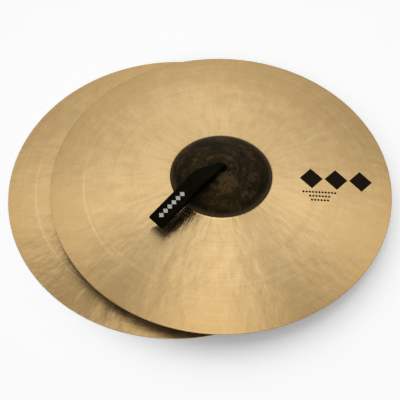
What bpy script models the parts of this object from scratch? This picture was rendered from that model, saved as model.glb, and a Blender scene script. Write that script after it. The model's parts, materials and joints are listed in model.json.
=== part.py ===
"""A pair of 20 inch hand cymbals, one lying on the other, each with its knotted leather strap."""

import math

import bmesh
import bpy
from mathutils import Matrix, Vector

# Cymbal plate, measured in the plate's own frame: the rim rests on z = 0 and the axis is Z
PLATE_RADIUS = 0.254
RIM_LAND_WIDTH = 0.0014
EDGE_THICKNESS = 0.0011
EDGE_ROUNDING = 0.0003
BOW_THICKNESS = 0.0012
BELL_THICKNESS = 0.0016
BOW_RISE = 0.02186
BELL_RADIUS = 0.076
BELL_TOP = 0.0416
BELL_POWER = 2.4
BELL_WALL_POWER = 4
BELL_FILLET = 0.0006
HOLE_RADIUS = 0.008
HOLE_EASE = 0.0004
BOW_RINGS = (0.225, 0.190, 0.155, 0.120, 0.094, 0.082)
BELL_RINGS = (0.0775, 0.0745, 0.069, 0.058, 0.043, 0.026)
LATHE_STEPS = 72
LATHE_MERGE = 0.00001

# Where each plate lies, and how far the upper one leans
LOWER_CENTRE = Vector((-0.0272, -0.0204, 0.0))
UPPER_CENTRE = Vector((0.0272, 0.0204, 0.0261))
UPPER_LEAN = Vector((-0.01575, 0.02306, 1.0))
UPPER_STRAP_TURN = math.radians(-90.0)
LOWER_STRAP_TURN = 0.0

# Strap leather
LEATHER = 0.0026
LAYER_GAP = 0.0003
LEATHER_EDGE = 0.0004
STRAP_HALF_WIDTH = 0.0127
NECK_HALF_WIDTH = 0.0065
FULL_WIDTH_AT = 0.045
HINGE_HEIGHT = 0.04475
ROOT_GAP = 0.0034
FOLD_RADIUS = 0.00205
FOLD_CENTRE_AT = 0.1297
FOLD_STEPS = 8
RUN_STEPS = 2
EDGE_MIN_ANGLE = math.radians(60.0)
SMOOTH_MAX_ANGLE = math.radians(35.0)

# Centre lines of the grip loop's two runs, as (distance from the hole, height) in the plate's frame
UPPER_GRIP = {
    "top": ((0.011, 0.0514), (0.027, 0.0561), (0.043, 0.0607), (0.055, 0.0571), (0.068, 0.0528),
            (0.087, 0.0481), (0.110, 0.0418)),
    "bottom": ((0.012, 0.0453), (0.026, 0.0455), (0.042, 0.0467), (0.057, 0.0459), (0.080, 0.0418),
               (0.106, 0.0371)),
    "fold_height": 0.0336,
    "fold_slope": math.radians(-17.0),
}
LOWER_GRIP = {
    "top": ((0.011, 0.0475), (0.026, 0.0493), (0.043, 0.0512), (0.055, 0.0503), (0.068, 0.0476),
            (0.087, 0.0434), (0.110, 0.0375)),
    "bottom": ((0.012, 0.0430), (0.026, 0.0419), (0.042, 0.0406), (0.057, 0.0378), (0.080, 0.0330),
               (0.106, 0.0299)),
    "fold_height": 0.0303,
    "fold_slope": math.radians(-14.0),
}

# Knot of four woven tails under the bell
TAIL_NEAR = 0.0023
TAIL_FAR = 0.0123
TAIL_LEVELS = (0.0372, 0.0341, 0.0310)
TAIL_START = 0.0004
TAIL_BEND_AT = 0.0120
TAIL_CROSSING = 0.0026
TAIL_TAPER_AT = -0.0150
TAIL_END = -0.0190
TAIL_TIP = 0.65
TAILS = 4

# Materials: base colour, roughness and metallic value
BRONZE = ((0.60, 0.43, 0.21), 0.28, 1.0)
BLACK_LEATHER = ((0.018, 0.017, 0.017), 0.45, 0.0)


def clear_scene():
    """Starts from an empty scene."""
    for obj in list(bpy.data.objects):
        bpy.data.objects.remove(obj, do_unlink=True)


def make_material(name, colour, roughness, metallic):
    """A plain Principled material."""
    material = bpy.data.materials.new(name)
    material.use_nodes = True
    shader = material.node_tree.nodes["Principled BSDF"]
    shader.inputs["Base Color"].default_value = (*colour, 1.0)
    shader.inputs["Roughness"].default_value = roughness
    shader.inputs["Metallic"].default_value = metallic
    material.diffuse_color = (*colour, 1.0)
    return material


def plate_frame(centre, normal):
    """The matrix from a plate's own frame to the world."""
    lean = Vector((0.0, 0.0, 1.0)).rotation_difference(normal.normalized())
    return Matrix.Translation(centre) @ lean.to_matrix().to_4x4()


def top_height(radius):
    """Height of the plate's outer face: a shallow bow and a domed bell, joined by a small fillet."""
    bow = EDGE_THICKNESS + BOW_RISE * (1.0 - (radius / PLATE_RADIUS) ** 2)
    bell_rise = BELL_TOP - EDGE_THICKNESS - BOW_RISE * (1.0 - (BELL_RADIUS / PLATE_RADIUS) ** 2)
    bell = BELL_TOP - bell_rise * (radius / BELL_RADIUS) ** BELL_POWER
    half_step = (bow - bell) / 2.0
    return (bow + bell) / 2.0 + math.hypot(half_step, BELL_FILLET)


def wall_thickness(radius):
    """The plate is thinnest at the rim and thickest in the bell."""
    if radius >= BELL_RADIUS:
        out = (radius - BELL_RADIUS) / (PLATE_RADIUS - BELL_RADIUS)
        return BOW_THICKNESS + (EDGE_THICKNESS - BOW_THICKNESS) * out
    return BELL_THICKNESS + (BOW_THICKNESS - BELL_THICKNESS) * (radius / BELL_RADIUS) ** BELL_WALL_POWER


def plate_profile():
    """The plate's closed cross-section, as (radius, height), from the rim inwards over the top and back."""
    rings = BOW_RINGS + BELL_RINGS
    shift = top_height(PLATE_RADIUS) - EDGE_THICKNESS
    inner_edge = HOLE_RADIUS + HOLE_EASE
    outer_edge = PLATE_RADIUS - EDGE_ROUNDING
    land_edge = outer_edge - RIM_LAND_WIDTH
    top = [(r, top_height(r) - shift) for r in rings]
    bottom = [(r, top_height(r) - shift - wall_thickness(r)) for r in reversed(rings)]
    top_of_hole = top_height(HOLE_RADIUS) - shift
    bottom_of_hole = top_of_hole - wall_thickness(HOLE_RADIUS)
    return (
        [(PLATE_RADIUS, EDGE_ROUNDING), (PLATE_RADIUS, EDGE_THICKNESS - EDGE_ROUNDING)]
        + [(outer_edge, EDGE_THICKNESS)]
        + top
        + [(inner_edge, top_of_hole), (HOLE_RADIUS, top_of_hole - HOLE_EASE)]
        + [(HOLE_RADIUS, bottom_of_hole + HOLE_EASE), (inner_edge, bottom_of_hole)]
        + bottom
        + [(land_edge, 0.0), (outer_edge, 0.0)]
    )


def link_mesh(name, shape, frame, material):
    """Turns a bmesh into an object of the scene."""
    mesh = bpy.data.meshes.new(name)
    shape.to_mesh(mesh)
    shape.free()
    obj = bpy.data.objects.new(name, mesh)
    obj.matrix_world = frame
    mesh.materials.append(material)
    bpy.context.scene.collection.objects.link(obj)
    return obj


def shade_smooth(obj):
    """Smooth shading that keeps the strip's own edges sharp."""
    obj.data.shade_smooth()
    obj.data.set_sharp_from_angle(angle=SMOOTH_MAX_ANGLE)


def add_plate(name, frame, material):
    """A cymbal plate, turned from its cross-section."""
    shape = bmesh.new()
    corners = [shape.verts.new((r, 0.0, z)) for r, z in plate_profile()]
    for first, second in zip(corners, corners[1:] + corners[:1]):
        shape.edges.new((first, second))
    obj = link_mesh(name, shape, frame, material)
    lathe = obj.modifiers.new("lathe", "SCREW")
    lathe.axis = "Z"
    lathe.steps = LATHE_STEPS
    lathe.render_steps = LATHE_STEPS
    lathe.use_merge_vertices = True
    lathe.merge_threshold = LATHE_MERGE
    lathe.use_normal_calculate = True
    lathe.use_smooth_shade = True
    return obj


def smooth_path(points, steps):
    """A Catmull-Rom curve through the points, with the given number of steps in each span."""
    ends = [points[0] * 2.0 - points[1], *points, points[-1] * 2.0 - points[-2]]
    path = []
    for a, b, c, d in zip(ends, ends[1:], ends[2:], ends[3:]):
        for step in range(steps):
            t = step / steps
            bend = (a * 2.0 - b * 5.0 + c * 4.0 - d) * t**2
            twist = (b * 3.0 - a - c * 3.0 + d) * t**3
            path.append((b * 2.0 + (c - a) * t + bend + twist) * 0.5)
    return [*path, points[-1]]


def arc(centre, radius, start, turn, steps):
    """Points on a circular arc in the strap's side view."""
    angles = [start + turn * step / steps for step in range(steps + 1)]
    return [centre + Vector((math.cos(a), math.sin(a))) * radius for a in angles]


def grip_path(grip):
    """The loop's centre line: out along the top run, round the fold and back along the bottom run."""
    layer = (LEATHER + LAYER_GAP) / 2.0
    fold = Vector((FOLD_CENTRE_AT, grip["fold_height"]))
    bend = arc(fold, FOLD_RADIUS, grip["fold_slope"] + math.pi / 2.0, -math.pi, FOLD_STEPS)
    top = [Vector((ROOT_GAP, HINGE_HEIGHT + layer)), *(Vector(p) for p in grip["top"]), bend[0]]
    bottom = [Vector((ROOT_GAP, HINGE_HEIGHT - layer)), *(Vector(p) for p in grip["bottom"]), bend[-1]]
    return smooth_path(top, RUN_STEPS)[:-1] + bend + smooth_path(bottom, RUN_STEPS)[-2::-1]


def grip_half_width(along):
    """The strap narrows towards the hole."""
    t = min(max((along - ROOT_GAP) / (FULL_WIDTH_AT - ROOT_GAP), 0.0), 1.0)
    return NECK_HALF_WIDTH + (STRAP_HALF_WIDTH - NECK_HALF_WIDTH) * t * t * (3.0 - 2.0 * t)


def neck_path():
    """Two runs of strap side by side in the hole, joined over the top, where the grip loop leaves them."""
    layer = (LEATHER + LAYER_GAP) / 2.0
    foot = TAIL_LEVELS[0] + LEATHER / 2.0 + LAYER_GAP
    over = arc(Vector((0.0, HINGE_HEIGHT)), layer, math.pi, -math.pi, FOLD_STEPS)
    return [Vector((-layer, foot)), *over, Vector((layer, foot))]


def tail_path():
    """One tail of the knot: out under the bell, folded down, across its neighbour, out under the next."""
    first, middle, last = TAIL_LEVELS
    bend = arc(Vector((TAIL_BEND_AT, middle)), first - middle, math.pi / 2.0, -math.pi, FOLD_STEPS)
    crossing = [Vector((TAIL_CROSSING, last)), Vector((-TAIL_CROSSING, middle))]
    tip = [Vector((TAIL_TAPER_AT, middle)), Vector((TAIL_END, middle))]
    return [Vector((TAIL_START, first)), *bend, *crossing, *tip]


def add_strip(name, rows, frame, material):
    """A strip of leather from its centre line, each row being (along, height, left edge, right edge)."""
    shape = bmesh.new()
    pairs = []
    for along, height, left, right in rows:
        pairs.append([shape.verts.new((along, across, height)) for across in (left, right)])
    for (a, b), (c, d) in zip(pairs, pairs[1:]):
        shape.faces.new((a, c, d, b))
    obj = link_mesh(name, shape, frame, material)
    hide = obj.modifiers.new("leather", "SOLIDIFY")
    hide.thickness = LEATHER
    hide.offset = 0.0
    hide.use_even_offset = True
    edge = obj.modifiers.new("edge", "BEVEL")
    edge.width = LEATHER_EDGE
    edge.segments = 1
    edge.limit_method = "ANGLE"
    edge.angle_limit = EDGE_MIN_ANGLE
    shade_smooth(obj)
    return obj


def add_grip(name, grip, frame, material):
    """The loop that the hand goes through."""
    rows = []
    for point in grip_path(grip):
        half = grip_half_width(point.x)
        rows.append((point.x, point.y, -half, half))
    obj = add_strip(name, rows, frame, material)
    hinge = Matrix.Translation((0.0, 0.0, HINGE_HEIGHT))
    obj.data.transform(hinge.inverted())
    obj.matrix_world = frame @ hinge
    return obj


def add_neck(name, frame, material):
    """The part of the strap that passes through the plate's hole."""
    rows = [(p.x, p.y, -NECK_HALF_WIDTH, NECK_HALF_WIDTH) for p in neck_path()]
    return add_strip(name, rows, frame, material)


def add_tail(name, frame, material):
    """One tail of the knot, tapered towards its cut end."""
    middle = (TAIL_NEAR + TAIL_FAR) / 2.0
    rows = []
    for point in tail_path():
        at_tip = point.x == TAIL_END
        half = (TAIL_FAR - TAIL_NEAR) / 2.0 * (TAIL_TIP if at_tip else 1.0)
        rows.append((point.x, point.y, middle - half, middle + half))
    return add_strip(name, rows, frame, material)


def add_cymbal(prefix, frame, strap_turn, grip, bronze, leather):
    """One cymbal with its strap and knot."""
    add_plate(f"{prefix}_cymbal_plate", frame, bronze)
    strap_frame = frame @ Matrix.Rotation(strap_turn, 4, "Z")
    add_grip(f"{prefix}_strap_grip_loop", grip, strap_frame, leather)
    add_neck(f"{prefix}_strap_neck", strap_frame, leather)
    for number in range(TAILS):
        quarter = Matrix.Rotation(-math.tau * number / TAILS, 4, "Z")
        add_tail(f"{prefix}_strap_knot_tail_{number + 1}", strap_frame @ quarter, leather)


def main():
    """Builds both cymbals."""
    clear_scene()
    bronze = make_material("bell_bronze", *BRONZE)
    leather = make_material("black_leather", *BLACK_LEATHER)
    lower = plate_frame(LOWER_CENTRE, Vector((0.0, 0.0, 1.0)))
    upper = plate_frame(UPPER_CENTRE, UPPER_LEAN)
    add_cymbal("lower", lower, LOWER_STRAP_TURN, LOWER_GRIP, bronze, leather)
    add_cymbal("upper", upper, UPPER_STRAP_TURN, UPPER_GRIP, bronze, leather)


main()
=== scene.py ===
"""Looks of the hand cymbals: lathed and hammered bronze plates, leather straps, knots and ornament."""

import json
import math

import bpy
import numpy as np
from mathutils import Matrix, Vector


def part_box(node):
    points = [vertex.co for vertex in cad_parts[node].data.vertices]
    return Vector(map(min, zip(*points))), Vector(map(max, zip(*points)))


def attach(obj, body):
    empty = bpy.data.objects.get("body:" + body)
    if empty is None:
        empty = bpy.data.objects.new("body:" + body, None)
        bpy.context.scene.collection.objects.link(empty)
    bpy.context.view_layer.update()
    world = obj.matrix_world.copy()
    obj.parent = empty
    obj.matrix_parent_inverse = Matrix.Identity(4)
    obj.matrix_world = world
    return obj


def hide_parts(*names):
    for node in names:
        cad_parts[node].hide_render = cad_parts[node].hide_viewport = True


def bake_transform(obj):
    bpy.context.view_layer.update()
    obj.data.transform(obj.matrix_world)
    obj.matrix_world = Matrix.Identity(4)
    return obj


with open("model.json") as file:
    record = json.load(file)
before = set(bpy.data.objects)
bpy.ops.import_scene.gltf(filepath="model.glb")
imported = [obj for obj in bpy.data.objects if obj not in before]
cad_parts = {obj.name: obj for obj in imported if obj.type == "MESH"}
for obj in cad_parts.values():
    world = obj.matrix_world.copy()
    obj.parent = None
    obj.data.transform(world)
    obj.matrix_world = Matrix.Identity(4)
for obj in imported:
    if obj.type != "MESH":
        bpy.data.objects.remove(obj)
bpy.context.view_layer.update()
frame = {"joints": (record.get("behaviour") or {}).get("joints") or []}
JOINTS = {joint["name"]: joint for joint in frame["joints"]}

# The plate's design, repeated from the part: its own frame has the rim on z = 0 and the axis on Z
PLATE_LOW, PLATE_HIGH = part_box("lower_cymbal_plate")
PLATE_RADIUS = (PLATE_HIGH.x - PLATE_LOW.x) / 2.0
RIM_LAND_WIDTH = 0.0014
EDGE_THICKNESS = 0.0011
EDGE_ROUNDING = 0.0003
BOW_THICKNESS = 0.0012
BELL_THICKNESS = 0.0016
BOW_RISE = 0.02186
BELL_RADIUS = 0.076
BELL_TOP = 0.0416
BELL_POWER = 2.4
BELL_WALL_POWER = 4
BELL_FILLET = 0.0006
HOLE_RADIUS = 0.008
HOLE_EASE = 0.0004

# How finely the plate is turned: spokes, and the pitch of the rings on each face and at the bell's foot
SPOKES = 192
BOW_PITCH = 0.00075
UNDER_PITCH = 0.0016
BELL_PITCH = 0.0016
FOOT_REACH = 0.003
FOOT_PITCH = 0.0004
UNDER_FOOT_PITCH = 0.0006
BOW_SLOT, PATINA_SLOT, UNDER_SLOT = range(3)
FIRST_SEED = 11

# Hammering: rows of shallow blows, then lathe ridges over them
FIRST_ROW = 0.090
LAST_ROW = 0.243
ROW_PITCH = 0.0125
ROW_STRAY = 0.35
BLOW_SPACING = 0.021
BLOW_STRAY = 0.3
BLOW_SIZE = (0.0065, 0.0105)
BLOW_DEPTH = (0.00006, 0.00020)
BLOW_REACH = 3.0
RIDGE_FADE = 0.004
RIDGE_PITCHES = (0.0021, 0.0029, 0.0043, 0.0071, 0.0130)
RIDGE_HEIGHTS = (0.000006, 0.000007, 0.000009, 0.000012, 0.000018)

# The strap's design, repeated from the part
LEATHER = 0.0026
LAYER_GAP = 0.0003
STRAP_HALF_WIDTH = 0.0127
NECK_HALF_WIDTH = 0.0065
CREST_HALF_WIDTH = 0.0048
CREST_LENGTH = 0.010
FULL_WIDTH_AT = 0.045
HINGE_HEIGHT = 0.04475
ROOT_GAP = 0.0034
FOLD_RADIUS = 0.00205
FOLD_CENTRE_AT = 0.1297
NECK_FOOT = 0.0388
CORNER_RADIUS = 0.0015
EDGE_RADIUS = 0.0008
EDGE_ANGLES = (70.0, 45.0, 20.0, -20.0, -45.0, -70.0)
EDGE_END = 80.0
CROWN = 0.00012
FACE_STEPS = 12
PATH_STEPS = 12
FOLD_STEPS = 12
CORNER_STEPS = 6
UPPER_GRIP = {
    "rise": ((-0.0016, 0.0432), (-0.0024, 0.0458), (-0.0012, 0.0483), (0.0032, 0.0498)),
    "top": ((0.011, 0.0515), (0.027, 0.0564), (0.0355, 0.0588), (0.043, 0.0600), (0.050, 0.0586),
            (0.058, 0.0559), (0.068, 0.0528), (0.087, 0.0481), (0.110, 0.0418)),
    "bottom": ((0.012, 0.0453), (0.026, 0.0455), (0.042, 0.0467), (0.057, 0.0459), (0.080, 0.0418),
               (0.106, 0.0371)),
    "fold_height": 0.0336,
    "fold_slope": math.radians(-17.0),
}
LOWER_GRIP = {
    "rise": ((-0.00145, 0.0430), (-0.0013, 0.0448), (0.0003, 0.0460), (0.0040, 0.0464)),
    "top": ((0.011, 0.0475), (0.026, 0.0493), (0.043, 0.0512), (0.055, 0.0503), (0.068, 0.0476),
            (0.087, 0.0434), (0.110, 0.0375)),
    "bottom": ((0.012, 0.0430), (0.026, 0.0419), (0.042, 0.0406), (0.057, 0.0378), (0.080, 0.0330),
               (0.106, 0.0299)),
    "fold_height": 0.0303,
    "fold_slope": math.radians(-14.0),
}
TAIL_NEAR = 0.0023
TAIL_FAR = 0.0123
TAIL_LEVELS = (0.0372, 0.0341, 0.0310)
TAIL_START = 0.0004
TAIL_BEND_AT = 0.0120
TAIL_CROSSING = 0.0026
TAIL_TAPER_AT = -0.0150
TAIL_END = -0.0190
TAIL_TIP = 0.65
TAIL_EASE_LENGTH = 0.003
TAIL_EASE_HEIGHT = 0.0004
TAIL_BEND_STEPS = 14
TAIL_STEPS = 5
TAILS = 4

# Printed ornament: on the plate as (right, away) from its axis, and on the strap as distance from its hole
INK_HEIGHT = 0.00006
LOZENGE_STEPS = 15
LOZENGE_BLUNTING = 0.00025
MARK_LEVEL = -0.001
BIG_LOZENGE = (0.0170, 0.0180)
BIG_LOZENGES_AT = (0.1335, 0.1705, 0.2075)
SMALL_LOZENGE = (0.0020, 0.0020)
SMALL_PITCH = 0.0047
SMALL_CENTRE = 0.1440
SMALL_ROWS = ((-0.0255, 11), (-0.0325, 7), (-0.0395, 6))
STRAP_LOZENGE = (0.0036, 0.0044)
STRAP_LOZENGES_AT = (0.0790, 0.0872, 0.0954, 0.1036, 0.1118, 0.1200)
LAY_STEP = 0.0005

# The side of the object that faces the camera, as a turn about Z, and the camera itself
FRONT_TURN = math.radians(45.753)
CAMERA_RISE = math.radians(55.837)
CAMERA_ROLL = math.radians(-0.095)
CAMERA_DISTANCE = 1.6410
CAMERA_SIDE = 0.00234
CAMERA_LIFT = -0.01297
LENS_TO_FRAME = 2.70625
SENSOR = 36.0

# Studio: a pale floor, and a surround that fades towards the horizon
FLOOR_REACH = 12.0
FLOOR_DROP = 0.0003
FLOOR_SHADE = 0.90
FLOOR_ROUGHNESS = 0.85
FLOOR_GLOW = 0.22
WORLD_STRENGTH = 0.60
HORIZON_STRENGTH = 0.15
FADE_HEIGHT = 0.60

# Soft lights, each where the camera sees it mirrored in a leaning face: name, the face's angle from the
# right, the face's lean, and the light's size and power
LIGHT_DISTANCE = 2.4
SOFT_LIGHTS = (
    ("wide_light", 90.0, 0.05, 3.4, 3.0),
    ("front_light", 269.0, 0.30, 1.8, 0.95),
    ("back_light", 100.0, 0.22, 2.4, 0.55),
    ("left_light", 190.0, 0.30, 1.6, 0.29),
    ("right_light", 344.0, 0.30, 1.8, 0.43),
)


def from_front(right, away, up):
    """A vector given as right, away and up, as seen by someone who stands at the camera."""
    return Matrix.Rotation(FRONT_TURN, 3, "Z") @ Vector((right, away, up))


# ---------------------------------------------------------------- frames

def plate_frame(prefix):
    """The matrix from a plate's own frame to the part's frame."""
    swivel = JOINTS[f"{prefix}_strap_swivel"]
    lean = Vector((0.0, 0.0, 1.0)).rotation_difference(Vector(swivel["axis"]).normalized())
    return Matrix.Translation(Vector(swivel["pos_m"])) @ lean.to_matrix().to_4x4()


def strap_frame(prefix):
    """The matrix from a strap's own frame (X along the loop, Z up the plate's axis) to the part's frame."""
    swivel = JOINTS[f"{prefix}_strap_swivel"]
    up = Vector(swivel["axis"]).normalized()
    along = up.cross(Vector(JOINTS[f"{prefix}_strap_raise"]["axis"])).normalized()
    turn = Matrix((along, up.cross(along), up)).transposed()
    return Matrix.Translation(Vector(swivel["pos_m"])) @ turn.to_4x4()


# ---------------------------------------------------------------- meshes

def mesh_object(name, points, faces, place, smooth_faces=True):
    """A mesh object in the scene, placed by a matrix."""
    mesh = bpy.data.meshes.new(name)
    mesh.from_pydata([tuple(p) for p in points], [], [tuple(f) for f in faces])
    mesh.update()
    if smooth_faces:
        mesh.shade_smooth()
    obj = bpy.data.objects.new(name, mesh)
    obj.matrix_world = place
    bpy.context.scene.collection.objects.link(obj)
    return obj


def top_height(radius):
    """Height of the plate's outer face: a shallow bow and a domed bell, joined by a small fillet."""
    bow = EDGE_THICKNESS + BOW_RISE * (1.0 - (radius / PLATE_RADIUS) ** 2)
    bell_rise = BELL_TOP - EDGE_THICKNESS - BOW_RISE * (1.0 - (BELL_RADIUS / PLATE_RADIUS) ** 2)
    bell = BELL_TOP - bell_rise * (radius / BELL_RADIUS) ** BELL_POWER
    half_step = (bow - bell) / 2.0
    return (bow + bell) / 2.0 + np.hypot(half_step, BELL_FILLET)


RIM_SHIFT = top_height(PLATE_RADIUS) - EDGE_THICKNESS


def wall_thickness(radius):
    """The plate is thinnest at the rim and thickest in the bell."""
    out = (radius - BELL_RADIUS) / (PLATE_RADIUS - BELL_RADIUS)
    bow = BOW_THICKNESS + (EDGE_THICKNESS - BOW_THICKNESS) * out
    bell = BELL_THICKNESS + (BOW_THICKNESS - BELL_THICKNESS) * (radius / BELL_RADIUS) ** BELL_WALL_POWER
    return np.where(radius >= BELL_RADIUS, bow, bell)


class Hammering:
    """The shallow relief that hammer and lathe leave on one plate."""

    def __init__(self, seed):
        draw = np.random.default_rng(seed)
        self.blows = []
        for row in np.arange(FIRST_ROW, LAST_ROW, ROW_PITCH):
            count = round(math.tau * row / BLOW_SPACING)
            start = draw.uniform(0.0, math.tau)
            for number in range(count):
                angle = start + math.tau * (number + draw.uniform(-BLOW_STRAY, BLOW_STRAY)) / count
                radius = row + draw.uniform(-ROW_STRAY, ROW_STRAY) * ROW_PITCH
                self.blows.append((radius, angle, draw.uniform(*BLOW_SIZE), draw.uniform(*BLOW_DEPTH)))
        self.phases = draw.uniform(0.0, math.tau, len(RIDGE_PITCHES))

    def dents(self, radii, angles):
        """Relief of the blows at points given by radius and angle."""
        relief = np.zeros(radii.shape)
        for radius, angle, size, depth in self.blows:
            near = np.abs(radii - radius) < BLOW_REACH * size
            turn = (angles[near] - angle + math.pi) % math.tau - math.pi
            spread = ((radii[near] - radius) ** 2 + (turn * radius) ** 2) / size**2
            relief[near] -= depth * np.exp(-spread / 2.0)
        return relief

    def ridges(self, radii):
        """Relief of the lathe's tool marks, which run round the plate."""
        relief = np.zeros_like(radii)
        for pitch, height, phase in zip(RIDGE_PITCHES, RIDGE_HEIGHTS, self.phases):
            relief += height * np.sin(math.tau * radii / pitch + phase)
        return relief * np.clip((radii - BELL_RADIUS) / RIDGE_FADE, 0.0, 1.0)

    def surface(self, radii, angles):
        """Height of the finished outer face at points given by radius and angle."""
        return top_height(radii) - RIM_SHIFT + self.ridges(radii) + self.dents(radii, angles)


def stretch(start, end, pitch):
    """Evenly spaced radii from start up to, but without, end."""
    return np.linspace(start, end, max(2, round(abs(end - start) / pitch)), endpoint=False)


def top_radii():
    """Radii of the rings on the outer face, from the rim in."""
    edge = PLATE_RADIUS - EDGE_ROUNDING
    bow = stretch(edge - BOW_PITCH, BELL_RADIUS + FOOT_REACH, BOW_PITCH)
    fillet = stretch(BELL_RADIUS + FOOT_REACH, BELL_RADIUS - FOOT_REACH, FOOT_PITCH)
    bell = stretch(BELL_RADIUS - FOOT_REACH, HOLE_RADIUS + HOLE_EASE, BELL_PITCH)
    return np.concatenate([bow, fillet, bell])


def under_radii():
    """Radii of the rings on the inner face, from the hole out."""
    land = PLATE_RADIUS - EDGE_ROUNDING - RIM_LAND_WIDTH
    bell = stretch(HOLE_RADIUS + HOLE_EASE + BELL_PITCH, BELL_RADIUS - FOOT_REACH, BELL_PITCH)
    fillet = stretch(BELL_RADIUS - FOOT_REACH, BELL_RADIUS + FOOT_REACH, UNDER_FOOT_PITCH)
    bow = stretch(BELL_RADIUS + FOOT_REACH, land, UNDER_PITCH)
    return np.concatenate([bell, fillet, bow])


def round_corner(radius, height, quarter, size):
    """Three points on a quarter circle of the section, starting at the given quarter turn."""
    steps = (quarter + np.array([0.0, 0.5, 1.0])) * math.pi / 2.0
    return [(radius + size * math.cos(a), height + size * math.sin(a)) for a in steps]


def rim_section():
    """The rim's rounded edge, from the face that it rests on to the outer face."""
    outer = PLATE_RADIUS - EDGE_ROUNDING
    low = round_corner(outer, EDGE_ROUNDING, 3.0, EDGE_ROUNDING)
    return low + round_corner(outer, EDGE_THICKNESS - EDGE_ROUNDING, 0.0, EDGE_ROUNDING)


def hole_section():
    """The hole's rounded edge, from the outer face to the inner one."""
    inner = HOLE_RADIUS + HOLE_EASE
    high = float(top_height(HOLE_RADIUS) - RIM_SHIFT)
    low = high - float(wall_thickness(HOLE_RADIUS))
    return (round_corner(inner, high - HOLE_EASE, 1.0, HOLE_EASE)
            + round_corner(inner, low + HOLE_EASE, 2.0, HOLE_EASE))


def plate_section(hammering, angles):
    """The plate's closed section, as radii and, for each spoke, heights."""
    top = top_radii()
    under = under_radii()
    top_line = top_height(top) - RIM_SHIFT + hammering.ridges(top)
    under_line = top_height(under) - RIM_SHIFT - wall_thickness(under) - hammering.ridges(under)
    rim = np.array(rim_section())
    hole = np.array(hole_section())
    land = np.array([[PLATE_RADIUS - EDGE_ROUNDING - RIM_LAND_WIDTH, 0.0]])
    outline = np.concatenate([rim, np.column_stack([top, top_line]), hole,
                              np.column_stack([under, under_line]), land])
    radii, line = outline.T
    heights = np.repeat(line[:, None], len(angles), axis=1)
    first_top = len(rim)
    first_under = first_top + len(top) + len(hole)
    for first, faces in ((first_top, top), (first_under, under)):
        grid = np.meshgrid(faces, angles, indexing="ij")
        heights[first:first + len(faces)] += hammering.dents(*grid)
    return radii, heights


def add_plate(prefix, seed, materials):
    """One cymbal plate in full detail, which stands for the part's plate. Returns its hammering."""
    hammering = Hammering(seed)
    angles = np.arange(SPOKES) * math.tau / SPOKES
    radii, heights = plate_section(hammering, angles)
    points = np.stack([radii[:, None] * np.cos(angles), radii[:, None] * np.sin(angles), heights], -1)
    ring = np.arange(len(radii))[:, None]
    spoke = np.arange(SPOKES)[None, :]
    next_ring = (ring + 1) % len(radii)
    next_spoke = (spoke + 1) % SPOKES
    faces = np.stack([ring * SPOKES + spoke, ring * SPOKES + next_spoke,
                      next_ring * SPOKES + next_spoke, next_ring * SPOKES + spoke], -1).reshape(-1, 4)
    plate = mesh_object(f"{prefix}_plate", points.reshape(-1, 3), faces, plate_frame(prefix))
    for material in materials:
        plate.data.materials.append(material)
    middle = (radii[:, None] + radii[next_ring]) / 2.0
    below = ring >= len(radii) - len(under_radii()) - 1
    chosen = np.where(middle < BELL_RADIUS, PATINA_SLOT, np.where(below, UNDER_SLOT, BOW_SLOT))
    slots = np.repeat(chosen, SPOKES, axis=1).ravel().astype(np.int32)
    plate.data.polygons.foreach_set("material_index", slots)
    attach(plate, f"{prefix}_cymbal")
    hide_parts(f"{prefix}_cymbal_plate")
    return hammering


# ---------------------------------------------------------------- material nodes

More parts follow.
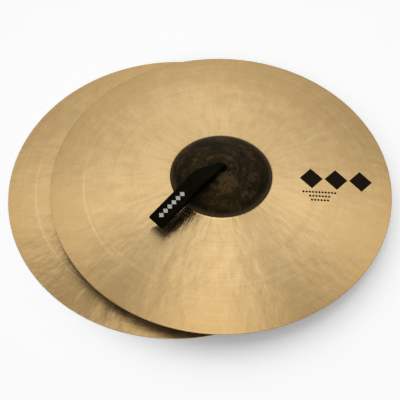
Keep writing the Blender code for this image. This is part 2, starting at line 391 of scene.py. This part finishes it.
class Graph:
    """Short calls that add nodes to one material."""

    def __init__(self, name):
        self.material = bpy.data.materials.new(name)
        self.material.use_nodes = True
        self.tree = self.material.node_tree
        self.shader = self.tree.nodes["Principled BSDF"]

    def put(self, socket, value):
        """Links a socket, or sets a constant."""
        if isinstance(value, bpy.types.NodeSocket):
            self.tree.links.new(value, socket)
        else:
            socket.default_value = value

    def node(self, kind, inputs=None, **settings):
        """A node with its settings and inputs."""
        made = self.tree.nodes.new(kind)
        for key, value in settings.items():
            setattr(made, key, value)
        for key, value in (inputs or {}).items():
            self.put(made.inputs[key], value)
        return made

    def math(self, operation, a, b):
        """Arithmetic on two numbers."""
        return self.node("ShaderNodeMath", {0: a, 1: b}, operation=operation).outputs[0]

    def times(self, a, b):
        """The product of two numbers."""
        return self.math("MULTIPLY", a, b)

    def length(self, vector):
        """The length of a vector."""
        return self.node("ShaderNodeVectorMath", {0: vector}, operation="LENGTH").outputs["Value"]

    def turned(self, vector, angle):
        """A vector turned about Z."""
        return self.node("ShaderNodeVectorRotate", {"Vector": vector, "Angle": angle},
                         rotation_type="Z_AXIS").outputs[0]

    def vector(self, operation, a, b):
        """Arithmetic on two vectors."""
        return self.node("ShaderNodeVectorMath", {0: a, 1: b}, operation=operation).outputs[0]

    def ramp(self, value, low, high, to_low=0.0, to_high=1.0):
        """A smooth step of value from low to high."""
        inputs = {"Value": value, "From Min": low, "From Max": high, "To Min": to_low, "To Max": to_high}
        return self.node("ShaderNodeMapRange", inputs, interpolation_type="SMOOTHSTEP").outputs[0]

    def noise(self, vector, scale, detail=3.0, roughness=0.55):
        """Fractal noise from 0 to 1."""
        inputs = {"Vector": vector, "Scale": scale, "Detail": detail, "Roughness": roughness}
        return self.node("ShaderNodeTexNoise", inputs).outputs["Fac"]

    def mix(self, share, a, b, blend="MIX"):
        """A mix of two colours."""
        mixed = self.node("ShaderNodeMix", data_type="RGBA", blend_type=blend)
        for key, value in ((0, share), (6, a), (7, b)):
            self.put(mixed.inputs[key], value)
        return mixed.outputs[2]

    def emboss(self, height, distance, strength=1.0):
        """A bump on the shader, as deep as the distance in metres."""
        inputs = {"Height": height, "Distance": distance, "Strength": strength}
        self.put(self.shader.inputs["Normal"], self.node("ShaderNodeBump", inputs).outputs[0])

    def look(self, **settings):
        """Sets the shader's inputs. An underscore stands for a space in an input's name."""
        for key, value in settings.items():
            self.put(self.shader.inputs[key.replace("_", " ")], value)


def grey(value):
    """A neutral colour."""
    return (value, value, value, 1.0)


# Colours
BRONZE_LIGHT = (0.578, 0.406, 0.199, 1.0)
BRONZE_MIDDLE = (0.455, 0.308, 0.138, 1.0)
BRONZE_DEEP = (0.405, 0.252, 0.098, 1.0)
BRONZE_ORANGE = (0.475, 0.284, 0.104, 1.0)
PATINA_DARK = (0.0050, 0.0038, 0.0012, 1.0)
PATINA_GREY = (0.0145, 0.0100, 0.0040, 1.0)
PATINA_RUST = (0.078, 0.041, 0.015, 1.0)
PATINA_TAN = (0.075, 0.044, 0.017, 1.0)
PATINA_RING_AND_FOOT_HIGHLIGHT = (0.068, 0.046, 0.023, 1.0)
PATINA_SHEEN = (1.0, 0.76, 0.36, 1.0)
LEATHER_DARK = (0.0012, 0.0011, 0.0003, 1.0)
LEATHER_LIGHT = (0.0030, 0.0028, 0.0010, 1.0)
LEATHER_SHEEN = (1.0, 0.93, 0.38, 1.0)
INK_BLACK = (0.0060, 0.0036, 0.0014, 1.0)
INK_WHITE = (0.54, 0.54, 0.50, 1.0)
INK_SHEEN = (1.0, 0.70, 0.45, 1.0)
INK_WORN = 0.75

# In every material, a name in _STEP holds a smooth step: from, to and, where they aren't 0 and 1, the
# values at its ends. A name in _LAYOUT holds turns and along for around().

# Bronze: each plate's own offset in the noise and depth of hammering, upper and lower, and the undersides'
# offset and painted shade, which darkens the undersides for the shade in the gap between the plates; then
# how streaks, ripples, rings and clouds are laid out and how much each one counts
PLATE_OFFSETS = (3.1, 7.7)
HAMMER_DEPTHS = (0.0005, 0.0008)
UNDER_OFFSET = 9.3
UNDER_PAINTED_SHADE = 0.26
HAMMER_LAYOUT = (12.0, 38.0)
RIPPLE_SCALE = 48.0
RIPPLE_SHARE = 0.35
RING_LAYOUT = (0.35, 420.0)
WIDE_RING_LAYOUT = (0.3, 60.0)
WIDE_RING_STEP = (0.55, 0.80, 0.0, 0.25)
CLOUD_SCALE = 11.0
BURST_SHARE = 0.45
RING_SHARE = 0.30
CLOUD_SHARE = 0.25
OUTWARD_STEP = (0.090, 0.262, 0.0, 0.17)
TONE_STEP = (0.28, 0.62)
BRONZE_ROUGH_STEP = (0.30, 0.70, 0.23, 0.29)
BRONZE_ANISOTROPY = 0.96
ALONG_THE_RADIUS = 0.25
# An orange band on one side, a painted highlight as a thin bright line on the other, and where the lathe's
# finish changed
BAND_TOWARDS = (0.66, 0.75)
BAND_SIDE_STEP = (0.35, 0.85, 0.0, 0.40)
BAND_INNER_STEP = (0.188, 0.196)
BAND_OUTER_STEP = (0.208, 0.199)
ZONE_RADII = (0.2060, 0.2140)
ZONE_STEP = (-0.002, 0.001, 0.0, 0.12)
HIGHLIGHT_LINE_TOWARDS = (-0.94, -0.34)
HIGHLIGHT_LINE_SIDE_STEP = (0.72, 0.97, 0.0, 0.55)
HIGHLIGHT_LINE_INNER_STEP = (-0.0045, -0.003)
HIGHLIGHT_LINE_OUTER_STEP = (0.0, -0.0015)
RIM_STEP = (0.225, 0.2535, 0.0, 0.30)

# Patina: grey bloom, tan wisps, rust freckles, runs near the foot, a ring round the hole, and a painted
# highlight round the foot
BLOOM_SCALE = 26.0
BLOOM_STEP = (0.38, 0.64)
WISP_LAYOUT = (1.3, 95.0)
WISP_STEP = (0.44, 0.66)
FRECKLE_SCALE = 120.0
BROKEN_STEP = (0.44, 0.60, 0.15, 0.9)
FRECKLE_STEP = (0.54, 0.64)
RUST_AREA_LAYOUT = (1.1, 30.0)
RUST_AREA_SCALE = 1.6
RUST_AREA_STEP = (0.46, 0.62)
RUN_LAYOUT = (11.0, 24.0)
RUN_SCALE = 1.4
RUN_STEP = (0.56, 0.74)
RUN_FROM_STEP = (0.050, 0.070)
STAIN_SHARE = 0.75
HOLE_RING_INNER_STEP = (0.0205, 0.0230)
HOLE_RING_OUTER_STEP = (0.0265, 0.0240)
HOLE_RING_SHARE = 0.25
FOOT_HIGHLIGHT_STEP = (0.0685, 0.0735, 0.0, 0.70)
PATINA_ROUGH_STEP = (0.3, 0.7, 0.40, 0.56)
PATINA_METALLIC = 0.1
PATINA_SPECULAR = 0.08
PIT_SCALE = 420.0
PIT_DEPTH = 0.00008

# Marks on the upper bell, as (right, away) from its axis on the side that faces the camera:
# centre, half sizes, turn and strength
RUBBED_MARKS = (
    ((0.005, -0.026), (0.015, 0.020), -0.3, 0.75),
    ((-0.017, 0.019), (0.0045, 0.0030), 0.5, 0.5),
    ((0.013, 0.018), (0.0040, 0.0028), -0.5, 0.5),
    ((0.004, 0.066), (0.012, 0.006), 0.0, 0.35),
    ((0.044, -0.012), (0.005, 0.010), 0.2, 0.3),
)
SCRATCHES = (
    ((0.004, -0.027), (0.0055, 0.0016), 0.85, 0.9),
    ((0.012, -0.013), (0.0028, 0.0018), 0.2, 0.9),
    ((0.008, -0.034), (0.0020, 0.0012), 1.3, 0.8),
    ((0.001, -0.035), (0.0020, 0.0012), 0.4, 0.7),
)
SPOT_STEP = (1.30, 0.40)
RAGGED_SCALE = 75.0
RAGGED_STEP = (0.25, 0.75, -0.90, 0.90)
SCRATCH_RAGGED = 0.4

# Leather and ink
LEATHER_CLOUD_SCALE = 90.0
LEATHER_TONE_STEP = (0.35, 0.65)
LEATHER_ROUGH_STEP = (0.3, 0.7, 0.48, 0.60)
LEATHER_SPECULAR = 0.032
PORE_SCALE = 1400.0
CREASE_SCALE = 500.0
GRAIN_DEPTH = 0.00006
GRAIN_STRENGTH = 0.7
WEAR_SCALE = 700.0
WEAR_STEP = (0.35, 0.65)
INK_ROUGHNESS = 0.55
INK_SPECULAR = 0.08
INK_DEPTH = 0.00001
INK_STRENGTH = 0.5


def polar(graph):
    """Object coordinates as position, radius and unit direction about the axis."""
    position = graph.node("ShaderNodeTexCoord").outputs["Object"]
    flat = graph.vector("MULTIPLY", position, (1.0, 1.0, 0.0))
    direction = graph.node("ShaderNodeVectorMath", {0: flat}, operation="NORMALIZE").outputs[0]
    return position, graph.length(flat), direction


def around(graph, radius, direction, turns, along):
    """Seamless noise coordinates: about turns features per radian and along features per metre."""
    spread = graph.vector("MULTIPLY", direction, (turns, turns, turns))
    rise = graph.node("ShaderNodeCombineXYZ", {"Z": graph.times(radius, along)}).outputs[0]
    return graph.vector("ADD", spread, rise)


def moved(graph, position, offset):
    """The position moved by an offset of the material's own, so that no two plates share a pattern."""
    return graph.vector("ADD", position, (offset, offset * 0.7, offset * 1.3))


def towards(graph, direction, side, step):
    """A smooth share of the directions about the axis that point to a side, given as (right, away)."""
    dot = graph.node("ShaderNodeVectorMath", {0: direction, 1: tuple(from_front(*side, 0.0))},
                     operation="DOT_PRODUCT")
    return graph.ramp(dot.outputs["Value"], *step)


def spots(graph, flat, ragged, marks):
    """The share of the surface that ragged-edged oval marks cover."""
    total = 0.0
    for centre, halves, turn, strength in marks:
        offset = graph.vector("SUBTRACT", flat, (*centre, 0.0))
        scaled = graph.vector("DIVIDE", graph.turned(offset, -turn), (*halves, 1.0))
        reach = graph.math("ADD", graph.length(scaled), ragged)
        total = graph.math("MAXIMUM", total, graph.ramp(reach, *SPOT_STEP, 0.0, strength))
    return total


def bronze_tone(graph, radius, shifted, burst, rings):
    """How light the bronze is: streaks, rings and clouds, deepening outwards."""
    clouds = graph.noise(shifted, CLOUD_SCALE)
    tone = graph.math("ADD", graph.times(burst, BURST_SHARE), graph.times(rings, RING_SHARE))
    tone = graph.math("ADD", tone, graph.times(clouds, CLOUD_SHARE))
    return graph.math("SUBTRACT", tone, graph.ramp(radius, *OUTWARD_STEP))


def bronze_colour(graph, radius, direction, tone, zone):
    """Bronze of a tone, with wide rings, the orange band, the step where the lathe's finish changed, and a
    painted highlight along it on one side.
    """
    wide_rings = graph.noise(around(graph, radius, direction, *WIDE_RING_LAYOUT), 1.0, detail=2.0)
    colour = graph.mix(graph.ramp(tone, *TONE_STEP), BRONZE_MIDDLE, BRONZE_LIGHT)
    colour = graph.mix(graph.ramp(wide_rings, *WIDE_RING_STEP), colour, BRONZE_DEEP)
    band = graph.times(graph.ramp(radius, *BAND_INNER_STEP), graph.ramp(radius, *BAND_OUTER_STEP))
    band = graph.times(band, towards(graph, direction, BAND_TOWARDS, BAND_SIDE_STEP))
    colour = graph.mix(band, colour, BRONZE_ORANGE)
    past_zone = graph.math("SUBTRACT", radius, zone)
    colour = graph.mix(graph.ramp(past_zone, *ZONE_STEP), colour, BRONZE_DEEP)
    # Painted highlight: a thin bright line just inside where the finish changed, on one side only
    line = graph.times(graph.ramp(past_zone, *HIGHLIGHT_LINE_INNER_STEP), graph.ramp(past_zone, *HIGHLIGHT_LINE_OUTER_STEP))
    line = graph.times(line, towards(graph, direction, HIGHLIGHT_LINE_TOWARDS, HIGHLIGHT_LINE_SIDE_STEP))
    colour = graph.mix(line, colour, BRONZE_LIGHT)
    return graph.mix(graph.ramp(radius, *RIM_STEP), colour, BRONZE_DEEP)


def lathed_bronze(name, offset, shade, zone, depth):
    """Bright bell bronze, brushed round the axis: tool rings, and hammering as streaks and ripples."""
    graph = Graph(name)
    position, radius, direction = polar(graph)
    shifted = moved(graph, position, offset)
    streaks = graph.vector("ADD", around(graph, radius, direction, *HAMMER_LAYOUT), (offset, 0.0, 0.0))
    burst = graph.noise(streaks, 1.0, detail=2.0)
    rings = graph.noise(around(graph, radius, direction, *RING_LAYOUT), 1.0, roughness=0.7)
    tone = bronze_tone(graph, radius, shifted, burst, rings)
    colour = bronze_colour(graph, radius, direction, tone, zone)
    brushed = graph.math("ADD", graph.times(rings, 0.5), graph.times(burst, 0.5))
    tangent = graph.node("ShaderNodeTangent", direction_type="RADIAL", axis="Z").outputs[0]
    # A shade below 1 darkens the colour: on the undersides this is painted shade for the dark gap between
    # the plates
    graph.look(Base_Color=graph.mix(1.0, colour, grey(shade), blend="MULTIPLY"), Metallic=1.0,
               Roughness=graph.ramp(brushed, *BRONZE_ROUGH_STEP), Anisotropic=BRONZE_ANISOTROPY,
               Anisotropic_Rotation=ALONG_THE_RADIUS, Tangent=tangent)
    ripples = graph.times(graph.noise(shifted, RIPPLE_SCALE, detail=1.0), RIPPLE_SHARE)
    graph.emboss(graph.math("ADD", burst, ripples), depth)
    return graph.material


def stains(graph, radius, direction, freckles, colour):
    """Tan wisps, rust freckles and rust runs over the bell's scale."""
    wisps = graph.noise(around(graph, radius, direction, *WISP_LAYOUT), 1.0, detail=5.0, roughness=0.68)
    broken = graph.times(graph.ramp(wisps, *WISP_STEP), graph.ramp(freckles, *BROKEN_STEP))
    colour = graph.mix(graph.times(broken, STAIN_SHARE), colour, PATINA_TAN)
    area = graph.noise(around(graph, radius, direction, *RUST_AREA_LAYOUT), RUST_AREA_SCALE)
    rusty = graph.times(graph.ramp(freckles, *FRECKLE_STEP), graph.ramp(area, *RUST_AREA_STEP))
    runs = graph.noise(around(graph, radius, direction, *RUN_LAYOUT), RUN_SCALE, detail=5.0, roughness=0.66)
    low_runs = graph.times(graph.ramp(runs, *RUN_STEP), graph.ramp(radius, *RUN_FROM_STEP))
    rusty = graph.math("MAXIMUM", rusty, low_runs)
    return graph.mix(graph.times(rusty, STAIN_SHARE), colour, PATINA_RUST)


def bell_marks(graph, position, shifted, colour):
    """Rubbed and scratched places on the side that faces the camera."""
    front = graph.vector("MULTIPLY", graph.turned(position, -FRONT_TURN), (1.0, 1.0, 0.0))
    ragged = graph.ramp(graph.noise(shifted, RAGGED_SCALE, detail=6.0, roughness=0.74), *RAGGED_STEP)
    colour = graph.mix(spots(graph, front, ragged, RUBBED_MARKS), colour, PATINA_TAN)
    slight = graph.times(ragged, SCRATCH_RAGGED)
    return graph.mix(spots(graph, front, slight, SCRATCHES), colour, PATINA_DARK)


def raw_patina(name, offset, marked):
    """The unlathed bell: dark scale with grey bloom, stains, a ring round the hole, and a painted highlight
    round the foot.
    """
    graph = Graph(name)
    position, radius, direction = polar(graph)
    shifted = moved(graph, position, offset)
    bloom = graph.noise(shifted, BLOOM_SCALE, detail=5.0, roughness=0.62)
    freckles = graph.noise(shifted, FRECKLE_SCALE, detail=6.0, roughness=0.75)
    colour = graph.mix(graph.ramp(bloom, *BLOOM_STEP), PATINA_DARK, PATINA_GREY)
    colour = stains(graph, radius, direction, freckles, colour)
    ring = graph.times(graph.ramp(radius, *HOLE_RING_INNER_STEP), graph.ramp(radius, *HOLE_RING_OUTER_STEP))
    colour = graph.mix(graph.times(ring, HOLE_RING_SHARE), colour, PATINA_RING_AND_FOOT_HIGHLIGHT)
    if marked:
        colour = bell_marks(graph, position, shifted, colour)
    # Painted highlight: the bell's foot, where it rounds into the bow, is painted lighter all round
    colour = graph.mix(graph.ramp(radius, *FOOT_HIGHLIGHT_STEP), colour, PATINA_RING_AND_FOOT_HIGHLIGHT)
    graph.look(Base_Color=colour, Metallic=PATINA_METALLIC, Specular_IOR_Level=PATINA_SPECULAR,
               Roughness=graph.ramp(bloom, *PATINA_ROUGH_STEP), Specular_Tint=PATINA_SHEEN)
    graph.emboss(graph.noise(shifted, PIT_SCALE, roughness=0.6), PIT_DEPTH)
    return graph.material


def printed_ink(name, shade):
    """Flat screen-print ink that has worn very slightly."""
    graph = Graph(name)
    position = graph.node("ShaderNodeTexCoord").outputs["Object"]
    wear = graph.noise(position, WEAR_SCALE, detail=4.0, roughness=0.7)
    worn = tuple(c * INK_WORN for c in shade[:3]) + (1.0,)
    graph.look(Base_Color=graph.mix(graph.ramp(wear, *WEAR_STEP), worn, shade), Roughness=INK_ROUGHNESS,
               Specular_IOR_Level=INK_SPECULAR, Specular_Tint=INK_SHEEN)
    graph.emboss(wear, INK_DEPTH, INK_STRENGTH)
    return graph.material


def black_leather(name):
    """Smooth black strap leather with a fine pore grain and a dull, faintly warm sheen."""
    graph = Graph(name)
    position = graph.node("ShaderNodeTexCoord").outputs["Object"]
    clouds = graph.noise(position, LEATHER_CLOUD_SCALE)
    colour = graph.mix(graph.ramp(clouds, *LEATHER_TONE_STEP), LEATHER_DARK, LEATHER_LIGHT)
    graph.look(Base_Color=colour, Roughness=graph.ramp(clouds, *LEATHER_ROUGH_STEP),
               Specular_IOR_Level=LEATHER_SPECULAR, Specular_Tint=LEATHER_SHEEN)
    pores = graph.node("ShaderNodeTexVoronoi", {"Vector": position, "Scale": PORE_SCALE}, feature="F1")
    grain = graph.math("ADD", pores.outputs["Distance"], graph.noise(position, CREASE_SCALE))
    graph.emboss(grain, GRAIN_DEPTH, GRAIN_STRENGTH)
    return graph.material


# ---------------------------------------------------------------- straps

def smooth_path(points, steps):
    """A Catmull-Rom curve through the points, with the given number of steps in each span."""
    ends = [points[0] * 2.0 - points[1], *points, points[-1] * 2.0 - points[-2]]
    path = []
    for a, b, c, d in zip(ends, ends[1:], ends[2:], ends[3:]):
        for step in range(steps):
            t = step / steps
            bend = (a * 2.0 - b * 5.0 + c * 4.0 - d) * t**2
            twist = (b * 3.0 - a - c * 3.0 + d) * t**3
            path.append((b * 2.0 + (c - a) * t + bend + twist) * 0.5)
    return [*path, points[-1]]


def arc(centre, radius, start, turn, steps):
    """Points on a circular arc in the strap's side view."""
    angles = [start + turn * step / steps for step in range(steps + 1)]
    return [centre + Vector((math.cos(a), math.sin(a))) * radius for a in angles]


def strap_path(grip):
    """The whole strap's centre line: up out of the hole, out along the top run, round the fold and back."""
    layer = (LEATHER + LAYER_GAP) / 2.0
    quarter = math.pi / 2.0
    fold = arc(Vector((FOLD_CENTRE_AT, grip["fold_height"])), FOLD_RADIUS, grip["fold_slope"] + quarter,
               -math.pi, FOLD_STEPS)
    corner = arc(Vector((layer + CORNER_RADIUS, HINGE_HEIGHT - layer - CORNER_RADIUS)), CORNER_RADIUS,
                 quarter, quarter, CORNER_STEPS)
    upper_run = [Vector(point) for point in grip["rise"] + grip["top"]]
    lower_run = [Vector(point) for point in reversed(grip["bottom"])]
    root = Vector((ROOT_GAP, HINGE_HEIGHT - layer))
    top = smooth_path([Vector((-layer, NECK_FOOT)), *upper_run, fold[0]], PATH_STEPS)
    bottom = smooth_path([fold[-1], *lower_run, root, corner[0]], PATH_STEPS)
    return top[:-1] + fold[:-1] + bottom[:-1] + corner + [Vector((layer, NECK_FOOT))]


def smooth_share(value, start, end):
    """A smooth step from 0 at start to 1 at end."""
    t = min(max((value - start) / (end - start), 0.0), 1.0)
    return t * t * (3.0 - 2.0 * t)


def strap_half_width(along):
    """The strap narrows towards the hole."""
    near = smooth_share(along, -ROOT_GAP, CREST_LENGTH)
    far = smooth_share(along, ROOT_GAP, FULL_WIDTH_AT)
    neck = CREST_HALF_WIDTH + (NECK_HALF_WIDTH - CREST_HALF_WIDTH) * near
    return neck + (STRAP_HALF_WIDTH - NECK_HALF_WIDTH) * far


def leather_section(half):
    """A strap's closed section as (across, height): rounded edges and very slightly crowned faces."""
    thick = LEATHER / 2.0
    flat = half - EDGE_RADIUS
    across = np.linspace(-flat, flat, FACE_STEPS)
    edge = [math.radians(angle) for angle in EDGE_ANGLES]
    full = math.sin(math.radians(EDGE_END))
    side = [(flat + EDGE_RADIUS * math.cos(a), thick * math.sin(a) / full) for a in edge]
    top = list(zip(across, thick - CROWN * (across / half) ** 2))
    return top + side + [(a, -z) for a, z in reversed(top)] + [(-a, -z) for a, z in side]


def sweep(name, path, sections, place):
    """A closed band along a path in the strap's side view, with one section for each of its points."""
    count = len(sections[0])
    points = []
    for index, point in enumerate(path):
        before = path[max(index - 1, 0)]
        after = path[min(index + 1, len(path) - 1)]
        tangent = (after - before).normalized()
        normal = Vector((-tangent.y, tangent.x))
        for across, height in sections[index]:
            points.append((point.x + normal.x * height, across, point.y + normal.y * height))
    faces = []
    for ring in range(len(path) - 1):
        for corner in range(count):
            following = (corner + 1) % count
            faces.append((ring * count + corner, (ring + 1) * count + corner,
                          (ring + 1) * count + following, ring * count + following))
    last = (len(path) - 1) * count
    faces.append(tuple(range(count)))
    faces.append(tuple(last + corner for corner in reversed(range(count))))
    return mesh_object(name, points, faces, place)


def add_strap(prefix, grip, leather):
    """One whole strap, from the knot up through the hole, round its loop and back."""
    path = strap_path(grip)
    sections = [leather_section(strap_half_width(point.x)) for point in path]
    place = strap_frame(prefix)
    strap = sweep(f"{prefix}_strap", path, sections, place)
    strap.data.materials.append(leather)
    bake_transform(strap)
    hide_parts(f"{prefix}_strap_grip_loop", f"{prefix}_strap_neck")


def tail_path():
    """One tail's centre line: out at the first level, back at the last, up over the crossing to its tip."""
    first, middle, last = TAIL_LEVELS
    bend = arc(Vector((TAIL_BEND_AT, middle)), first - middle, math.pi / 2.0, -math.pi, TAIL_BEND_STEPS)
    before = TAIL_CROSSING + TAIL_EASE_LENGTH
    stops = [(before, last), (TAIL_CROSSING, last + TAIL_EASE_HEIGHT),
             (-TAIL_CROSSING, middle - TAIL_EASE_HEIGHT), (-before, middle),
             (TAIL_TAPER_AT, middle), (TAIL_END, middle)]
    run = smooth_path([bend[-1], *(Vector(stop) for stop in stops)], TAIL_STEPS)
    return [Vector((TAIL_START, first))] + bend[:-1] + run


def tail_sections(path):
    """The tail's sections: full width, and narrowing to the tip."""
    centre = (TAIL_NEAR + TAIL_FAR) / 2.0
    half = (TAIL_FAR - TAIL_NEAR) / 2.0
    sections = []
    for point in path:
        share = max(0.0, (TAIL_TAPER_AT - point.x) / (TAIL_TAPER_AT - TAIL_END))
        width = half * (1.0 + (TAIL_TIP - 1.0) * share)
        sections.append([(a + centre, z) for a, z in leather_section(width)])
    return sections


def add_knot(prefix, leather):
    """The four woven tails of one knot."""
    path = tail_path()
    sections = tail_sections(path)
    for number in range(TAILS):
        quarter = Matrix.Rotation(-math.tau * number / TAILS, 4, "Z")
        tail = sweep(f"{prefix}_knot_tail_{number + 1}", path, sections, strap_frame(prefix) @ quarter)
        tail.data.materials.append(leather)
        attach(tail, f"{prefix}_strap_knot")
        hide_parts(f"{prefix}_strap_knot_tail_{number + 1}")


# ---------------------------------------------------------------- printed ornament

def lozenge(centre, half_length, half_height):
    """A square grid of (along, across) points that fills a lozenge."""
    steps = np.linspace(-1.0, 1.0, LOZENGE_STEPS)
    step, side = np.meshgrid(steps, steps, indexing="ij")
    half = half_height * (1.0 - np.abs(step)) + LOZENGE_BLUNTING
    return np.stack([centre[0] + step * half_length, centre[1] + side * half], axis=-1).reshape(-1, 2)


def film_faces():
    """Faces of one closed film: a grid on top, the same grid underneath, and the border between them."""
    size = LOZENGE_STEPS
    under = size * size
    faces = []
    for i in range(size - 1):
        for corner in range(i * size, i * size + size - 1):
            quad = (corner, corner + size, corner + size + 1, corner + 1)
            faces += [quad, tuple(index + under for index in reversed(quad))]
    first_row = list(range(size))
    first_column = [i * size for i in first_row]
    last_row = [under - size + j for j in first_row[1:]]
    last_column = [i * size + size - 1 for i in reversed(first_row[:-1])]
    border = first_column + last_row + last_column + list(reversed(first_row[1:-1]))
    faces += [(b, a, a + under, b + under) for a, b in zip(border, border[1:] + border[:1])]
    return faces


def film_mesh(name, shapes, lay, place, ink):
    """Thin closed films of ink. lay maps (along, across) points and a depth to points on the surface."""
    flat = np.concatenate(shapes)
    above = lay(flat, INK_HEIGHT).reshape(len(shapes), -1, 3)
    below = lay(flat, -INK_HEIGHT).reshape(len(shapes), -1, 3)
    points = np.concatenate([above, below], axis=1)
    faces = [tuple(index + shape * points.shape[1] for index in face)
             for shape in range(len(shapes)) for face in film_faces()]
    film = mesh_object(name, points.reshape(-1, 3).tolist(), faces, place, smooth_faces=False)
    film.data.materials.append(ink)
    return film


def add_plate_mark(prefix, hammering, ink):
    """Three lozenges and rows of small ones, printed on the bow where the maker's print would be."""
    shapes = [lozenge((x, MARK_LEVEL), *BIG_LOZENGE) for x in BIG_LOZENGES_AT]
    for level, count in SMALL_ROWS:
        start = SMALL_CENTRE - SMALL_PITCH * (count - 1) / 2.0
        shapes += [lozenge((start + SMALL_PITCH * i, level), *SMALL_LOZENGE) for i in range(count)]

    def lay(points, depth):
        radii = np.hypot(points[:, 0], points[:, 1])
        angles = np.arctan2(points[:, 1], points[:, 0]) + FRONT_TURN
        heights = hammering.surface(radii, angles) + depth
        return np.stack([radii * np.cos(angles), radii * np.sin(angles), heights], axis=-1)

    film = film_mesh(f"{prefix}_plate_ornament", shapes, lay, plate_frame(prefix), ink)
    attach(film, f"{prefix}_cymbal")


def add_strap_mark(prefix, grip, ink):
    """A row of small white lozenges along the strap's upper face."""
    path = strap_path(grip)
    fold_at = max(range(len(path)), key=lambda index: path[index].x)
    run = [point for point in path[:fold_at] if point.x > ROOT_GAP]
    place = [point.x for point in run]
    height = [point.y for point in run]

    def lay(points, depth):
        along, across = points.T
        slope = (np.interp(along + LAY_STEP, place, height)
                 - np.interp(along - LAY_STEP, place, height)) / (2.0 * LAY_STEP)
        lift = (LEATHER / 2.0 - CROWN * (across / STRAP_HALF_WIDTH) ** 2 + depth) / np.hypot(slope, 1.0)
        return np.stack([along - slope * lift, across, np.interp(along, place, height) + lift], axis=-1)

    shapes = [lozenge((x, 0.0), *STRAP_LOZENGE) for x in STRAP_LOZENGES_AT]
    film = film_mesh(f"{prefix}_strap_ornament", shapes, lay, strap_frame(prefix), ink)
    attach(film, f"{prefix}_strap_grip")


# ---------------------------------------------------------------- studio

def add_floor():
    """A plain pale floor."""
    reach = FLOOR_REACH
    corners = [(-reach, -reach, 0.0), (reach, -reach, 0.0), (reach, reach, 0.0), (-reach, reach, 0.0)]
    floor = mesh_object("floor", corners, [(0, 1, 2, 3)], Matrix.Translation((0.0, 0.0, -FLOOR_DROP)))
    graph = Graph("pale_floor")
    graph.look(Base_Color=grey(FLOOR_SHADE), Roughness=FLOOR_ROUGHNESS, Emission_Color=grey(1.0),
               Emission_Strength=FLOOR_GLOW)
    floor.data.materials.append(graph.material)


def view_back():
    """The direction from the object back to the camera."""
    return from_front(0.0, -math.cos(CAMERA_RISE), math.sin(CAMERA_RISE))


def mirrored(angle, tilt):
    """Where the camera sees, mirrored in a face that leans by tilt towards the angle from the right."""
    turn = math.radians(angle)
    lean = from_front(tilt * math.cos(turn), tilt * math.sin(turn), 1.0).normalized()
    return lean * (2.0 * lean.dot(view_back())) - view_back()


def add_light(name, direction, distance, size, power):
    """A soft round light that looks at the middle of the object."""
    lamp = bpy.data.lights.new(name, "AREA")
    lamp.shape = "DISK"
    lamp.size = size
    lamp.energy = power
    lamp.spread = 2.0 * math.atan(size / 2.0 / distance)
    light = bpy.data.objects.new(name, lamp)
    light.location = direction.normalized() * distance
    light.rotation_euler = direction.to_track_quat("Z", "Y").to_euler()
    bpy.context.scene.collection.objects.link(light)


def add_studio():
    """A pale surround that fades towards the horizon, and five soft lights."""
    world = bpy.data.worlds.new("studio")
    world.use_nodes = True
    nodes = world.node_tree.nodes
    background = nodes["Background"]
    background.inputs["Color"].default_value = grey(1.0)
    height = nodes.new("ShaderNodeSeparateXYZ")
    fade = nodes.new("ShaderNodeMapRange")
    fade.interpolation_type = "SMOOTHSTEP"
    fade_values = {"From Max": FADE_HEIGHT, "To Min": HORIZON_STRENGTH, "To Max": WORLD_STRENGTH}
    for socket, value in fade_values.items():
        fade.inputs[socket].default_value = value
    link = world.node_tree.links.new
    link(nodes.new("ShaderNodeTexCoord").outputs["Generated"], height.inputs[0])
    link(height.outputs["Z"], fade.inputs["Value"])
    link(fade.outputs[0], background.inputs["Strength"])
    bpy.context.scene.world = world
    for name, angle, tilt, size, power in SOFT_LIGHTS:
        add_light(name, mirrored(angle, tilt), LIGHT_DISTANCE, size, power)


def add_camera():
    """A camera at the viewing angle of the picture that the object comes from."""
    back = view_back()
    right = from_front(1.0, 0.0, 0.0)
    up = back.cross(right)
    turn = Matrix((right, up, back)).transposed().to_4x4() @ Matrix.Rotation(CAMERA_ROLL, 4, "Z")
    camera = bpy.data.objects.new("camera", bpy.data.cameras.new("camera"))
    camera.data.sensor_width = SENSOR
    camera.data.lens = SENSOR * LENS_TO_FRAME
    place = back * CAMERA_DISTANCE + right * CAMERA_SIDE + up * CAMERA_LIFT
    camera.matrix_world = Matrix.Translation(place) @ turn
    bpy.context.scene.collection.objects.link(camera)
    bpy.context.scene.camera = camera


def main():
    """Builds the looks."""
    add_camera()
    # The undersides' bronze carries painted shade, darkened to stand for the shade in the gap between the
    # plates
    under = lathed_bronze("lathed_bronze_under_painted_shade", UNDER_OFFSET, UNDER_PAINTED_SHADE, ZONE_RADII[0], HAMMER_DEPTHS[0])
    leather = black_leather("strap_leather")
    black_ink = printed_ink("black_ink", INK_BLACK)
    white_ink = printed_ink("white_ink", INK_WHITE)
    for index, (prefix, grip) in enumerate((("upper", UPPER_GRIP), ("lower", LOWER_GRIP))):
        offset = PLATE_OFFSETS[index]
        bow = lathed_bronze(f"lathed_bronze_{prefix}", offset, 1.0, ZONE_RADII[index], HAMMER_DEPTHS[index])
        bell = raw_patina(f"raw_patina_{prefix}", offset, prefix == "upper")
        hammering = add_plate(prefix, FIRST_SEED + index, (bow, bell, under))
        add_plate_mark(prefix, hammering, black_ink)
        add_strap(prefix, grip, leather)
        add_strap_mark(prefix, grip, white_ink)
        add_knot(prefix, leather)
    add_floor()
    add_studio()
    bpy.context.scene.view_settings.view_transform = "Standard"


main()
